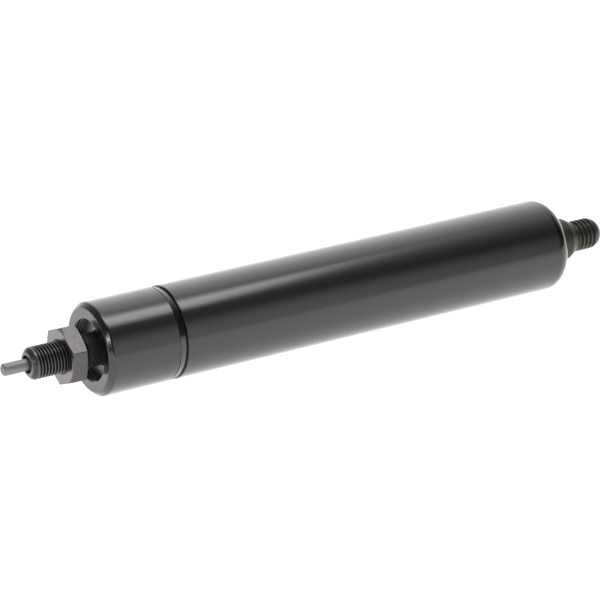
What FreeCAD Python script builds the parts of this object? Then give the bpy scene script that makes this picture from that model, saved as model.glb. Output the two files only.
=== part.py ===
import FreeCAD, Part

import math
import os
import re

import Sketcher
from FreeCAD import Placement, Rotation, Vector

# Gas strut that locks at any length, in millimetres. Its axis is the X axis. The rod end
# points to -X and the stud on the closed end of the cylinder points to +X. The origin is
# on the axis where the thread of that stud begins. The rod is drawn pushed in.

doc = FreeCAD.newDocument("gas_strut")

# Driving sizes

SIZES = [
    ("tube_diameter", 28.0, "outside of the pressure tube and of the end sleeve"),
    ("tube_wall", 1.5, "wall of the pressure tube"),
    ("tube_length", 136.3, "pressure tube, from the joint to its rolled end"),
    ("tube_end_radius", 5.0, "outside rounding of the rolled end"),
    ("tube_lip_width", 1.2, "flat lip that the rolled end turns inwards"),
    ("tube_edge_break", 0.15, "chamfer on the tube's edge at the joint"),
    ("static_gap", 0.05, "radial room between a fixed piece and its bore"),
    ("ring_gap", 0.04, "room round a sealing ring in its groove"),
    ("running_gap", 0.06, "radial room between sliding pieces"),
    ("sleeve_length", 25.4, "end sleeve, from its face to the joint"),
    ("sleeve_face_chamfer", 1.4, "chamfer round the end face"),
    ("sleeve_joint_chamfer", 2.4, "chamfer at the joint, along the axis"),
    ("joint_depth", 0.6, "depth of the groove that shows at the joint"),
    ("spigot_length", 8.0, "part of the sleeve inside the tube"),
    ("spigot_wall", 1.95, "spigot, round the bore that holds guide and seals"),
    ("guide_ledge", 1.3, "ledge that holds the guide, and leaves the mouth open"),
    ("mouth_depth", 3.5, "from the end face to the rod guide"),
    ("mouth_chamfer", 0.35, "chamfer at the edge of the mouth"),
    ("mouth_thread_pitch", 1.0, "pitch of the thread in the mouth"),
    ("mouth_thread_depth", 0.45, "depth of that thread"),
    ("mouth_thread_flank", 30.0, "slope of that thread's sides"),
    ("mouth_thread_start", 0.7, "from the end face to the first groove"),
    ("package_overhang", 2.0, "from the joint to the end of the snap ring behind the seals"),
    ("rod_diameter", 10.0, "piston rod"),
    ("rod_hole_room", 0.15, "radial room where the rod passes fixed rings"),
    ("guide_face_thickness", 2.5, "web between mouth and liner"),
    ("guide_ring_place", 7.5, "middle of the guide's sealing ring"),
    ("liner_wall", 1.0, "bearing liner"),
    ("liner_end_room", 0.46, "from the bearing liner to the back of the guide"),
    ("back_ring_thickness", 1.2, "ring behind the rod seal"),
    ("seal_length", 6.0, "rod seal"),
    ("seal_lip_tip", 0.7, "thickness of the rod seal's lips at their tips"),
    ("seal_lip_root", 1.8, "thickness of the rod seal's lips at their root"),
    ("seal_lip_depth", 3.2, "groove between the lips"),
    ("support_thickness", 1.5, "washer that backs the rod seal on the oil side"),
    ("snap_ring_thickness", 1.2, "snap ring that closes the package"),
    ("snap_ring_width", 2.0, "radial width of that snap ring"),
    ("snap_groove_depth", 0.9, "groove for the snap ring"),
    ("snap_gap_angle", 40.0, "gap in the snap rings"),
    ("seal_wire", 1.3, "thickness of the static sealing rings"),
    ("seal_groove_extra", 0.5, "groove width beyond the sealing ring"),
    ("spigot_ring_place", 5.0, "middle of the spigot's sealing ring, from the joint"),
    ("rod_thread_diameter", 9.9, "crest of the M10x1 thread on the rod"),
    ("rod_pitch_diameter", 9.35, "pitch diameter, used under the lock nut"),
    ("rod_tip_length", 1.25, "chamfer in front of the rod thread"),
    ("rod_thread_free", 9.3, "thread in front of the lock nut"),
    ("rod_thread_runout", 2.4, "thread behind the lock nut"),
    ("nut_thickness", 5.0, "lock nut"),
    ("nut_across_flats", 16.0, "lock nut"),
    ("nut_chamfer_angle", 15.0, "chamfer on the corners of the nuts"),
    ("nut_face_inset", 0.2, "from the flats of a nut to the round edge of its face"),
    ("nut_standoff", 4.3, "from the lock nut to the end face, rod pushed in"),
    ("nut_angle", 36.0, "turn of the lock nut about the axis"),
    ("nut_gap", 0.05, "room in the nut's thread"),
    ("pin_diameter", 3.6, "release pin"),
    ("pin_reach", 7.8, "release pin in front of the rod"),
    ("pin_edge", 0.4, "chamfer on the release pin"),
    ("pin_travel", 2.5, "travel of the release pin"),
    ("pin_gap", 0.1, "radial room round the release pin"),
    ("pin_mouth_diameter", 5.2, "sunk mouth of the rod's bore"),
    ("pin_mouth_depth", 1.6, "sunk mouth of the rod's bore"),
    ("pin_mouth_taper", 0.45, "cone at the bottom of the sunk mouth"),
    ("stroke", 55.0, "travel of the rod"),
    ("stroke_reserve", 0.2, "room left at the end of the travel"),
    ("stop_length", 8.5, "stop sleeve on the rod"),
    ("stop_wall", 2.5, "stop sleeve"),
    ("port_diameter", 2.0, "oil port through rod and stop sleeve"),
    ("port_place", 4.2, "from the oil port to the piston"),
    ("piston_length", 12.0, "piston"),
    ("piston_gap", 0.18, "radial room of the piston in the tube"),
    ("piston_edge", 1.5, "chamfer on the edges of the piston"),
    ("piston_ring_width", 4.0, "sliding ring of the piston"),
    ("piston_ring_wall", 1.3, "sliding ring of the piston"),
    ("neck_diameter", 8.0, "threaded neck of the rod that carries the piston"),
    ("neck_grip", 6.0, "length of the neck in the piston nut"),
    ("piston_nut_length", 9.0, "piston nut"),
    ("piston_nut_flats", 14.0, "piston nut, across flats"),
    ("valve_bore_diameter", 5.2, "bore of the valve in the rod"),
    ("valve_chamber_length", 17.0, "bore of the valve, from the piston towards the pin"),
    ("valve_start_room", 0.5, "from the end of that bore to the tappet"),
    ("tappet_stem_length", 11.0, "guided stem of the valve tappet"),
    ("tappet_neck_diameter", 2.6, "neck of the valve tappet"),
    ("tappet_head_diameter", 7.2, "head of the valve tappet"),
    ("tappet_head_length", 2.0, "head of the valve tappet"),
    ("tappet_nose_diameter", 3.6, "flat end of the tappet's head"),
    ("tappet_nose_length", 1.0, "taper on the tappet's head"),
    ("tappet_wire", 1.0, "sealing ring on the tappet's stem"),
    ("seat_bore_diameter", 4.4, "bore through the valve seat"),
    ("seat_ring_diameter", 6.4, "outside of the soft seat ring"),
    ("seat_ring_thickness", 0.9, "soft seat ring"),
    ("seat_room", 0.03, "room between the tappet's head and its seat"),
    ("separator_room", 1.5, "from the pressed tappet to the separator"),
    ("separator_length", 14.0, "separator between oil and gas"),
    ("separator_floor", 4.0, "floor of the separator"),
    ("separator_wall", 3.2, "wall of the separator"),
    ("separator_ring_inset", 3.5, "from each end of the separator to its ring"),
    ("plug_length", 9.0, "base plug inside the tube"),
    ("plug_ring_place", 4.0, "middle of the base plug's sealing ring"),
    ("plug_standout", 1.6, "boss of the plug outside the tube"),
    ("wire_ring", 1.2, "wire of the ring that holds the base plug"),
    ("wire_ring_depth", 0.45, "groove for that wire ring"),
    ("flange_diameter", 13.0, "cylindrical flange of the stud"),
    ("flange_length", 3.8, "cylindrical flange of the stud"),
    ("flange_edge", 0.3, "chamfer on the edge of the flange"),
    ("cone_length", 3.35, "cone of the stud, from its flange to its foot"),
    ("stud_diameter", 9.9, "crest of the M10x1.5 thread on the stud"),
    ("stud_root_diameter", 9.0, "stud at the foot of its cone"),
    ("stud_length", 4.8, "thread of the stud, before its round tip"),
    ("spigot_diameter", 8.0, "spigot of the stud in the base plug"),
    ("spigot_depth", 8.0, "spigot of the stud in the base plug"),
]

sheet = doc.addObject("Spreadsheet::Sheet", "Sizes")
for row, (alias, value, meaning) in enumerate(SIZES, start=1):
    sheet.set(f"A{row}", meaning)
    sheet.set(f"B{row}", str(value))
    sheet.setAlias(f"B{row}", alias)
doc.recompute()

ALIASES = re.compile(r"\b(" + "|".join(alias for alias, value, meaning in SIZES) + r")\b")


def bound(text):
    """Turn an expression in size names into one that reads them from the sheet."""
    return ALIASES.sub(r"Sizes.\1", text)


def worth(text):
    """Number that an expression in size names gives."""
    result = sheet.evalExpression(bound(text))
    return float(getattr(result, "Value", result))


# Radii and places that several pieces share, as expressions in the sizes

TUBE_R = "(tube_diameter / 2)"
BORE_R = "(tube_diameter / 2 - tube_wall)"
ROD_R = "(rod_diameter / 2)"
SPIGOT_R = f"({BORE_R} - static_gap)"
PACKAGE_R = f"({SPIGOT_R} - spigot_wall)"
MOUTH_R = f"({PACKAGE_R} - guide_ledge)"
ROD_HOLE_R = f"({ROD_R} + rod_hole_room)"
SLIDE_R = f"({BORE_R} - running_gap)"
LIP_R = f"({TUBE_R} - tube_end_radius - tube_lip_width)"
BOSS_R = f"({LIP_R} - static_gap)"
FLANGE_R = "(flange_diameter / 2)"
PIN_R = "(pin_diameter / 2)"
PIN_BORE_R = f"({PIN_R} + pin_gap)"
VALVE_R = "(valve_bore_diameter / 2)"
NECK_R = "(neck_diameter / 2)"
SEAL_GROOVE = "(seal_wire + 2 * ring_gap)"
SEALS_LENGTH = "(back_ring_thickness + seal_length + support_thickness + snap_ring_thickness)"
GUIDE_LENGTH = f"(sleeve_length + package_overhang - mouth_depth - {SEALS_LENGTH})"
LINER_LENGTH = f"({GUIDE_LENGTH} - guide_face_thickness - ring_gap - liner_end_room)"

CONE_END = "(-(stud_diameter - stud_root_diameter) / 2)"
CONE_START = f"({CONE_END} - cone_length)"
BOSS_FACE = f"({CONE_START} - flange_length)"
TUBE_END = f"({BOSS_FACE} - plug_standout)"
JOINT = f"({TUBE_END} - tube_length)"
SLEEVE_FACE = f"({JOINT} - sleeve_length)"
GUIDE_START = f"({SLEEVE_FACE} + mouth_depth)"
BACK_RING_START = f"({GUIDE_START} + {GUIDE_LENGTH})"
SEAL_START = f"({BACK_RING_START} + back_ring_thickness)"
SUPPORT_START = f"({SEAL_START} + seal_length)"
SNAP_RING_START = f"({SUPPORT_START} + support_thickness)"
NUT_START = f"({SLEEVE_FACE} - nut_standoff - nut_thickness)"
ROD_START = f"({NUT_START} - rod_thread_free - rod_tip_length)"
PIN_START = f"({ROD_START} - pin_reach)"
STOP_START = f"({SNAP_RING_START} + stroke + stroke_reserve)"
PISTON_START = f"({STOP_START} + stop_length)"
PISTON_NUT_START = f"({PISTON_START} + piston_length)"
VALVE_FACE = f"({PISTON_NUT_START} + piston_nut_length)"
VALVE_START = f"({PISTON_START} - valve_chamber_length)"
TAPPET_START = f"({VALVE_START} + valve_start_room)"
TAPPET_HEAD = f"({VALVE_FACE} + seat_room)"
SEPARATOR_START = f"({TAPPET_HEAD} + tappet_head_length + pin_travel + separator_room)"
PLUG_START = f"({TUBE_END} - tube_wall - plug_length)"

PIECES = []


def new_body(name, place):
    """Empty body of one piece, its own zero set at a place on the axis."""
    body = doc.addObject("PartDesign::Body", name)
    body.Label = name
    body.setExpression("Placement.Base.x", bound(place))
    PIECES.append(body)
    return body


def new_sketch(body, name, plane="XY_Plane"):
    """Sketch on one of the body's own origin planes."""
    sketch = body.newObject("Sketcher::SketchObject", name)
    planes = [item for item in body.Origin.OriginFeatures if item.Role == plane]
    sketch.AttachmentSupport = [(planes[0], "")]
    sketch.MapMode = "FlatFace"
    return sketch


def pin_point(sketch, line, end, along, across):
    """Hold one end of a line at a place along and a radius across the axis."""
    for kind, text, axis in (("DistanceX", along, -2), ("DistanceY", across, -1)):
        if text == "0":
            sketch.addConstraint(Sketcher.Constraint("PointOnObject", line, end, axis))
            continue
        constraint = Sketcher.Constraint(kind, -1, 1, line, end, worth(text))
        index = sketch.addConstraint(constraint)
        sketch.setExpression(f"Constraints[{index}]", bound(text))


def arc_between(first, last, radius, side):
    """Short arc from one point to the next. Its centre is left of the chord for side 1."""
    chord = last - first
    middle = (first + last) * 0.5
    height = math.sqrt(max(radius ** 2 - (chord.Length / 2) ** 2, 0.0))
    left = Vector(-chord.y, chord.x, 0).normalize()
    centre = middle + left * (side * height)
    start = math.atan2(first.y - centre.y, first.x - centre.x)
    stop = math.atan2(last.y - centre.y, last.x - centre.x)
    if side < 0:
        start, stop = stop, start
    circle = Part.Circle(centre, Vector(0, 0, 1), radius)
    return Part.ArcOfCircle(circle, start, stop)


def draw_outline(sketch, outline):
    """Closed outline of points (place, radius), each fixed by its own expressions. A point
    may add the radius of the arc that leaves it and the side of that arc's centre."""
    points = [Vector(worth(item[0]), worth(item[1]), 0) for item in outline]
    ends = []
    for index, item in enumerate(outline):
        first = points[index]
        last = points[(index + 1) % len(points)]
        if len(item) == 2:
            line = sketch.addGeometry(Part.LineSegment(first, last), False)
            ends.append((line, 1, 2))
            continue
        arc = sketch.addGeometry(arc_between(first, last, worth(item[2]), item[3]), False)
        ends.append((arc, 1, 2) if item[3] > 0 else (arc, 2, 1))
    for index, (line, first_end, last_end) in enumerate(ends):
        next_line, next_end, unused = ends[(index + 1) % len(ends)]
        joined = Sketcher.Constraint("Coincident", line, last_end, next_line, next_end)
        sketch.addConstraint(joined)
    for (line, first_end, last_end), item in zip(ends, outline):
        pin_point(sketch, line, first_end, item[0], item[1])
        if len(item) == 4:
            radius = sketch.addConstraint(Sketcher.Constraint("Radius", line, worth(item[2])))
            sketch.setExpression(f"Constraints[{radius}]", bound(item[2]))


def turned(body, name, outline, kind="PartDesign::Revolution", angle="360"):
    """Turn an outline about the axis, to add material or, as a groove, to cut it."""
    sketch = new_sketch(body, name + "_outline")
    draw_outline(sketch, outline)
    feature = body.newObject(kind, name)
    feature.Profile = sketch
    feature.ReferenceAxis = (sketch, ["H_Axis"])
    feature.setExpression("Angle", bound(angle))
    body.Tip = feature
    return feature


def cross_hole(body, name, place, diameter):
    """Drill a round hole through the piece, square to the axis."""
    sketch = new_sketch(body, name + "_outline")
    circle = Part.Circle(Vector(worth(place), 0, 0), Vector(0, 0, 1), worth(diameter) / 2)
    hole = sketch.addGeometry(circle, False)
    pin_point(sketch, hole, 3, place, "0")
    size = sketch.addConstraint(Sketcher.Constraint("Diameter", hole, worth(diameter)))
    sketch.setExpression(f"Constraints[{size}]", bound(diameter))
    pocket = body.newObject("PartDesign::Pocket", name)
    pocket.Profile = sketch
    pocket.Type = 1
    pocket.Midplane = True
    body.Tip = pocket
    return pocket


def ring_groove(body, name, middle, outer, depth):
    """Groove for a sealing ring in an outside face."""
    first = f"{middle} - ({SEAL_GROOVE} + seal_groove_extra) / 2"
    last = f"{middle} + ({SEAL_GROOVE} + seal_groove_extra) / 2"
    floor = f"{outer} - {depth}"
    mouth = f"{outer} + seal_wire"
    outline = [(first, floor), (first, mouth), (last, mouth), (last, floor)]
    return turned(body, name, outline, "PartDesign::Groove")


def sealing_ring(name, place, centre_radius, wire):
    """Round sealing ring about the axis."""
    ring = doc.addObject("Part::Torus", name)
    ring.Label = name
    ring.setExpression("Radius1", bound(centre_radius))
    ring.setExpression("Radius2", bound(f"{wire} / 2"))
    ring.Placement = Placement(Vector(), Rotation(Vector(0, 1, 0), 90))
    ring.setExpression("Placement.Base.x", bound(place))
    PIECES.append(ring)
    return ring


def washer(name, place, length, inner, outer):
    """Plain flat ring."""
    body = new_body(name, place)
    outline = [("0", inner), ("0", outer), (length, outer), (length, inner)]
    turned(body, "ring", outline)
    return body


def hexagon(body, name, length, across_flats, angle):
    """Hexagonal bar along the axis, turned about it by an angle."""
    prism = body.newObject("PartDesign::AdditivePrism", name)
    planes = [item for item in body.Origin.OriginFeatures if item.Role == "YZ_Plane"]
    prism.AttachmentSupport = [(planes[0], "")]
    prism.MapMode = "FlatFace"
    prism.Polygon = 6
    prism.setExpression("Circumradius", bound(f"{across_flats} / sqrt(3)"))
    prism.setExpression("Height", bound(length))
    prism.AttachmentOffset = Placement(Vector(), Rotation(Vector(0, 0, 1), worth(angle)))
    prism.setExpression("AttachmentOffset.Rotation.Angle", bound(angle))
    body.Tip = prism
    return prism


def corner_chamfer(body, name, face, inwards, across_flats):
    """Cone that takes the corners off one end of a hexagon."""
    beyond = f"({across_flats} / sqrt(3) + nut_face_inset)"
    rim = f"({across_flats} / 2 - nut_face_inset)"
    rise = f"({beyond} - {rim}) * tan(nut_chamfer_angle)"
    tip = f"{face} + {rise}" if inwards > 0 else f"{face} - {rise}"
    outline = [(face, rim), (face, beyond), (tip, beyond)]
    return turned(body, name, outline, "PartDesign::Groove")


# Cylinder: the pieces that stay with the pressure tube

def pressure_tube():
    """Steel tube with its far end rolled in over the base plug."""
    body = new_body("pressure_tube", JOINT)
    straight = "(tube_length - tube_end_radius)"
    flat_r = f"({TUBE_R} - tube_end_radius)"
    turned(body, "shell", [
        ("0", BORE_R),
        ("0", f"{TUBE_R} - tube_edge_break"),
        ("tube_edge_break", TUBE_R),
        (straight, TUBE_R, "tube_end_radius", -1),
        ("tube_length", flat_r),
        ("tube_length", LIP_R),
        ("tube_length - tube_wall", LIP_R),
        ("tube_length - tube_wall", flat_r, "tube_end_radius - tube_wall", 1),
        (straight, BORE_R),
    ])
    half = "(wire_ring / 2 + ring_gap)"
    middle = f"(tube_length - tube_wall - plug_length - {half})"
    floor = f"({BORE_R} + wire_ring_depth + ring_gap)"
    turned(body, "wire_groove", [
        (f"{middle} - {half}", f"{BORE_R} - wire_ring"),
        (f"{middle} - {half}", floor),
        (f"{middle} + {half}", floor),
        (f"{middle} + {half}", f"{BORE_R} - wire_ring"),
    ], "PartDesign::Groove")


def end_sleeve():
    """Sleeve that closes the rod end. Its spigot sits in the tube, and its bore carries
    the guide and the seals of the rod behind a threaded mouth."""
    body = new_body("end_sleeve", SLEEVE_FACE)
    length = "(sleeve_length + spigot_length)"
    turned(body, "shell", [
        ("0", f"{MOUTH_R} + mouth_chamfer"),
        ("0", f"{TUBE_R} - sleeve_face_chamfer"),
        ("sleeve_face_chamfer", TUBE_R),
        ("sleeve_length - sleeve_joint_chamfer", TUBE_R),
        ("sleeve_length", f"{TUBE_R} - joint_depth"),
        ("sleeve_length", SPIGOT_R),
        (length, SPIGOT_R),
        (length, PACKAGE_R),
        ("mouth_depth", PACKAGE_R),
        ("mouth_depth", MOUTH_R),
        ("mouth_chamfer", MOUTH_R),
    ])
    flank = "(mouth_thread_depth * tan(mouth_thread_flank))"
    deepest = f"(mouth_thread_start + {flank})"
    groove = turned(body, "thread_groove", [
        (f"{deepest} - 2 * {flank}", f"{MOUTH_R} - mouth_thread_depth"),
        (f"{deepest} + 2 * {flank}", f"{MOUTH_R} - mouth_thread_depth"),
        (deepest, f"{MOUTH_R} + mouth_thread_depth"),
    ], "PartDesign::Groove")
    room = worth("mouth_depth - mouth_thread_start * 2")
    turns = max(int(room / worth("mouth_thread_pitch")) + 1, 1)
    if turns > 1:
        pattern = body.newObject("PartDesign::LinearPattern", "mouth_thread")
        pattern.Originals = [groove]
        pattern.Direction = (groove.Profile[0], ["H_Axis"])
        pattern.setExpression("Length", bound(f"mouth_thread_pitch * {turns - 1}"))
        pattern.Occurrences = turns
        body.Tip = pattern
    ring_groove(body, "spigot_groove", "(sleeve_length + spigot_ring_place)", SPIGOT_R,
                f"({SEAL_GROOVE} - static_gap)")
    start = f"({SNAP_RING_START} - {SLEEVE_FACE} - ring_gap)"
    stop = f"({SNAP_RING_START} - {SLEEVE_FACE} + snap_ring_thickness + ring_gap)"
    floor = f"({PACKAGE_R} + snap_groove_depth)"
    turned(body, "snap_groove", [
        (start, f"{PACKAGE_R} - snap_ring_width"),
        (start, floor),
        (stop, floor),
        (stop, f"{PACKAGE_R} - snap_ring_width"),
    ], "PartDesign::Groove")


def rod_guide():
    """Light metal bush whose face is the floor of the mouth."""
    body = new_body("rod_guide", GUIDE_START)
    liner_r = f"({ROD_R} + running_gap + liner_wall + static_gap)"
    outer = f"({PACKAGE_R} - static_gap)"
    turned(body, "bush", [
        ("0", ROD_HOLE_R),
        ("0", outer),
        (GUIDE_LENGTH, outer),
        (GUIDE_LENGTH, liner_r),
        ("guide_face_thickness", liner_r),
        ("guide_face_thickness", ROD_HOLE_R),
    ])
    ring_groove(body, "ring_groove", "guide_ring_place", outer,
                f"({SEAL_GROOVE} - static_gap)")


def rod_guide_pieces():
    """Liner of the guide, and the seals and rings behind it."""
    sealing_ring("guide_seal_ring", f"{GUIDE_START} + guide_ring_place",
                 f"{PACKAGE_R} - {SEAL_GROOVE} / 2", "seal_wire")
    liner = f"({ROD_R} + running_gap)"
    washer("guide_liner", f"{GUIDE_START} + guide_face_thickness + ring_gap", LINER_LENGTH,
           liner, f"{liner} + liner_wall")
    outer = f"({PACKAGE_R} - static_gap)"
    washer("seal_back_ring", BACK_RING_START, "back_ring_thickness", ROD_HOLE_R, outer)
    washer("seal_support_washer", SUPPORT_START, "support_thickness", ROD_HOLE_R, outer)
    sealing_ring("sleeve_seal_ring", f"{JOINT} + spigot_ring_place",
                 f"{BORE_R} - {SEAL_GROOVE} / 2", "seal_wire")


def rod_seal():
    """Rubber ring with two lips that the oil spreads against rod and bore."""
    body = new_body("rod_seal", SEAL_START)
    inner = f"({ROD_R} + running_gap)"
    outer = f"({PACKAGE_R} - ring_gap)"
    root = "(seal_length - seal_lip_depth)"
    turned(body, "lips", [
        ("0", f"{inner} + rod_hole_room"),
        ("0", outer),
        ("seal_length", outer),
        ("seal_length", f"{outer} - seal_lip_tip"),
        (root, f"{outer} - seal_lip_root"),
        (root, f"{inner} + seal_lip_root"),
        ("seal_length", f"{inner} + seal_lip_tip"),
        ("seal_length", inner),
        (root, inner),
    ])


def guide_snap_ring():
    """Open ring in the groove of the sleeve."""
    body = new_body("guide_snap_ring", SNAP_RING_START)
    outer = f"({PACKAGE_R} + snap_groove_depth - ring_gap)"
    inner = f"({outer} - snap_ring_width)"
    turned(body, "ring", [
        ("0", inner),
        ("0", outer),
        ("snap_ring_thickness", outer),
        ("snap_ring_thickness", inner),
    ], angle="360 - snap_gap_angle")


def base_plug():
    """Plug in the rolled end. Its boss stands out through the end of the tube."""
    body = new_body("base_plug", PLUG_START)
    edge = "(tube_end_radius - tube_wall)"
    boss = "(plug_length + tube_wall + plug_standout)"
    turned(body, "disc", [
        ("0", "0"),
        ("0", SPIGOT_R),
        (f"plug_length - {edge}", SPIGOT_R, edge, -1),
        ("plug_length", f"{SPIGOT_R} - {edge}"),
        ("plug_length", BOSS_R),
        (boss, BOSS_R),
        (boss, "0"),
    ])
    ring_groove(body, "ring_groove", "plug_ring_place", SPIGOT_R,
                f"({SEAL_GROOVE} - static_gap)")
    hole = "(spigot_diameter / 2 + static_gap)"
    floor = f"({boss} - spigot_depth - ring_gap)"
    turned(body, "stud_hole", [
        (floor, "0"),
        (floor, hole),
        (f"{boss} + flange_length", hole),
        (f"{boss} + flange_length", "0"),
    ], "PartDesign::Groove")


def base_rings():
    """Sealing ring of the base plug and the wire ring that holds the plug."""
    sealing_ring("base_seal_ring", f"{PLUG_START} + plug_ring_place",
                 f"{BORE_R} - {SEAL_GROOVE} / 2", "seal_wire")
    body = new_body("base_wire_ring", f"{PLUG_START} - wire_ring / 2 - ring_gap")
    sketch = new_sketch(body, "wire_outline")
    centre = f"({BORE_R} + wire_ring_depth - wire_ring / 2)"
    middle = Vector(0, worth(centre), 0)
    circle = Part.Circle(middle, Vector(0, 0, 1), worth("wire_ring / 2"))
    wire = sketch.addGeometry(circle, False)
    pin_point(sketch, wire, 3, "0", centre)
    size = sketch.addConstraint(Sketcher.Constraint("Diameter", wire, worth("wire_ring")))
    sketch.setExpression(f"Constraints[{size}]", bound("wire_ring"))
    ring = body.newObject("PartDesign::Revolution", "wire")
    ring.Profile = sketch
    ring.ReferenceAxis = (sketch, ["H_Axis"])
    ring.setExpression("Angle", bound("360 - snap_gap_angle"))
    body.Tip = ring


def threaded_stud():
    """Stud with a flange that rests on the plug, a cone and a round tip."""
    body = new_body("threaded_stud", f"{BOSS_FACE} - spigot_depth")
    thread = "(stud_diameter / 2)"
    face = "spigot_depth"
    cone = f"({face} + flange_length)"
    foot = f"({cone} + cone_length)"
    start = f"({foot} + (stud_diameter - stud_root_diameter) / 2)"
    turned(body, "stud", [
        ("0", "0"),
        ("0", "spigot_diameter / 2"),
        (face, "spigot_diameter / 2"),
        (face, f"{FLANGE_R} - flange_edge"),
        (f"{face} + flange_edge", FLANGE_R),
        (cone, FLANGE_R),
        (foot, "stud_root_diameter / 2"),
        (start, thread),
        (f"{start} + stud_length", thread, thread, -1),
        (f"{start} + stud_length + {thread}", "0"),
    ])


# Piston ring: slides in the tube and lets the rod turn

def piston_rings():
    """Sliding ring of the piston, and the rubber ring that presses it outwards."""
    inner = f"({SLIDE_R} - piston_ring_wall)"
    start = f"{PISTON_START} + (piston_length - piston_ring_width) / 2"
    washer("piston_ring", start, "piston_ring_width", inner, SLIDE_R)
    sealing_ring("piston_ring_spring", f"{PISTON_START} + piston_length / 2",
                 f"{inner} - {SEAL_GROOVE} / 2", "seal_wire")


# Rod: everything that turns with it

def piston_rod():
    """Hollow rod. The lock nut's thread is drawn at its pitch diameter, so that the nut
    stays in place, and the free thread at its crest."""
    body = new_body("piston_rod", ROD_START)
    thread = "(rod_thread_diameter / 2)"
    pitch = "(rod_pitch_diameter / 2)"
    nut = f"({NUT_START} - {ROD_START})"
    nut_end = f"({nut} + nut_thickness)"
    runout = f"({nut_end} + rod_thread_runout)"
    shoulder = f"({PISTON_START} - {ROD_START})"
    end = f"({PISTON_NUT_START} + neck_grip - {ROD_START})"
    valve = f"({VALVE_START} - {ROD_START})"
    mouth = "(pin_mouth_diameter / 2)"
    turned(body, "rod", [
        ("0", mouth),
        ("0", f"{thread} - rod_tip_length"),
        ("rod_tip_length", thread),
        (f"{nut} - nut_gap", thread),
        (f"{nut} - nut_gap", pitch),
        (f"{nut_end} + nut_gap", pitch),
        (f"{nut_end} + nut_gap", thread),
        (runout, thread),
        (f"{runout} + {ROD_R} - {thread}", ROD_R),
        (shoulder, ROD_R),
        (shoulder, NECK_R),
        (end, NECK_R),
        (end, VALVE_R),
        (valve, VALVE_R),
        (valve, PIN_BORE_R),
        ("pin_mouth_depth", PIN_BORE_R),
        ("pin_mouth_depth - pin_mouth_taper", mouth),
    ])
    cross_hole(body, "oil_port", f"{shoulder} - port_place", "port_diameter")


def stop_sleeve():
    """Spacer that ends the travel of the rod against the support washer."""
    body = new_body("stop_sleeve", STOP_START)
    inner = f"({ROD_R} + static_gap)"
    outer = f"({inner} + stop_wall)"
    turned(body, "sleeve", [
        ("0", inner),
        ("0", outer),
        ("stop_length", outer),
        ("stop_length", inner),
    ])
    cross_hole(body, "oil_port", "stop_length - port_place", "port_diameter")


def piston():
    """Piston with one groove for its sliding ring."""
    body = new_body("piston", PISTON_START)
    inner = f"({NECK_R} + static_gap)"
    outer = f"({BORE_R} - piston_gap)"
    floor = f"({SLIDE_R} - piston_ring_wall - {SEAL_GROOVE} - ring_gap)"
    side = "((piston_length - piston_ring_width) / 2 - running_gap)"
    turned(body, "disc", [
        ("0", inner),
        ("0", f"{outer} - piston_edge"),
        ("piston_edge", outer),
        (side, outer),
        (side, floor),
        (f"piston_length - {side}", floor),
        (f"piston_length - {side}", outer),
        ("piston_length - piston_edge", outer),
        ("piston_length", f"{outer} - piston_edge"),
        ("piston_length", inner),
    ])


def piston_nut():
    """Nut on the neck of the rod. Its far face is the seat of the valve."""
    body = new_body("piston_nut", PISTON_NUT_START)
    hexagon(body, "hexagon", "piston_nut_length", "piston_nut_flats", "0")
    corner_chamfer(body, "end_chamfer", "piston_nut_length", -1, "piston_nut_flats")
    neck = f"({NECK_R} + nut_gap)"
    turned(body, "bore", [
        ("0", "0"),
        ("0", neck),
        ("neck_grip + ring_gap", neck),
        ("neck_grip + ring_gap", "seat_bore_diameter / 2"),
        ("piston_nut_length - seat_ring_thickness", "seat_bore_diameter / 2"),
        ("piston_nut_length - seat_ring_thickness", "seat_ring_diameter / 2 + ring_gap"),
        ("piston_nut_length", "seat_ring_diameter / 2 + ring_gap"),
        ("piston_nut_length", "0"),
    ], "PartDesign::Groove")
    washer("valve_seat_ring", f"{VALVE_FACE} - seat_ring_thickness", "seat_ring_thickness",
           "seat_bore_diameter / 2", "seat_ring_diameter / 2")


def lock_nut():
    """Thin hexagon nut on the rod's thread."""
    body = new_body("lock_nut", NUT_START)
    hexagon(body, "hexagon", "nut_thickness", "nut_across_flats", "nut_angle")
    corner_chamfer(body, "front_chamfer", "0", 1, "nut_across_flats")
    corner_chamfer(body, "back_chamfer", "nut_thickness", -1, "nut_across_flats")
    bore = "(rod_pitch_diameter / 2 + nut_gap)"
    turned(body, "bore", [
        ("0", "0"),
        ("0", bore),
        ("nut_thickness", bore),
        ("nut_thickness", "0"),
    ], "PartDesign::Groove")


# Release: pin and valve tappet, pushed in together

def release_pin():
    """Long pin through the rod, which pushes the tappet."""
    body = new_body("release_pin", PIN_START)
    length = f"({TAPPET_START} - {PIN_START})"
    turned(body, "pin", [
        ("0", "0"),
        ("0", f"{PIN_R} - pin_edge"),
        ("pin_edge", PIN_R),
        (length, PIN_R),
        (length, "0"),
    ])


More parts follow.
